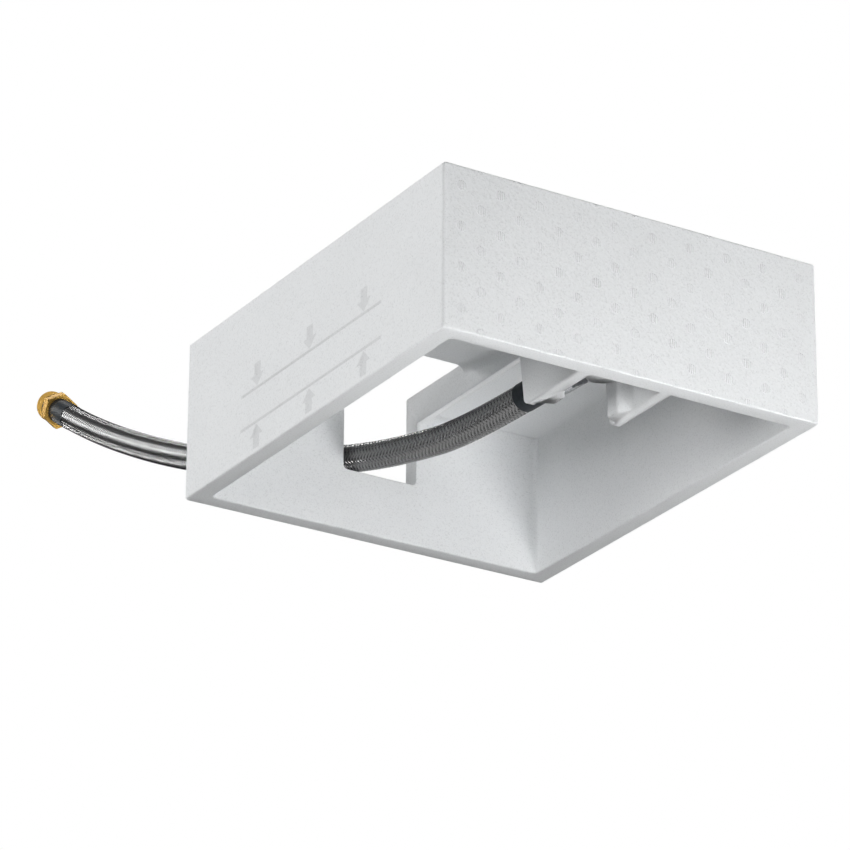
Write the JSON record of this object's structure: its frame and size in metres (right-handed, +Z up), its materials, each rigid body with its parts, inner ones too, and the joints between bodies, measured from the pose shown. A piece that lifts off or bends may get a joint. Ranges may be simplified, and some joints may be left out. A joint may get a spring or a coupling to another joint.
{
  "type": "concealed overhead shower body",
  "caption": "Foam box that is built into a ceiling behind an overhead shower, open downwards, with a braided connection hose held in a clip and led out through a cut-out.",
  "frame": {"origin": "centre of the box's top face, which lies against the ceiling structure", "axes": "+Z up, out of the top face; +Y along the box's longer side, towards the wall that the hose leaves by"},
  "size_m": [0.25, 0.7424, 0.2658],
  "materials": {
    "foam": "white expanded polystyrene, moulded, fine bead grain",
    "braid": "woven stainless steel wire",
    "ferrule": "dark crimped sleeve, satin",
    "inlet_brass": "turned",
    "tail_brass": "turned",
    "nut_metal": "nickel plated",
    "seal": "matte"
  },
  "bodies": {
    "box": {"foam_housing": "foam", "connection_hose": "braid", "outer_ferrule": "ferrule", "inlet_fitting": "inlet_brass", "inlet_seal": "seal", "inner_ferrule": "ferrule", "swivel_tail": "tail_brass", "nut_washer": "seal"},
    "nut": {"union_nut": "nut_metal"}
  },
  "joints": [
    {"name": "nut_swivel", "type": "hinge", "parent": "box", "child": "nut", "pos_m": [-0.00325, -0.06769, -0.07362], "axis": [0, -0.9997, -0.0262], "continuous": true}
  ]
}
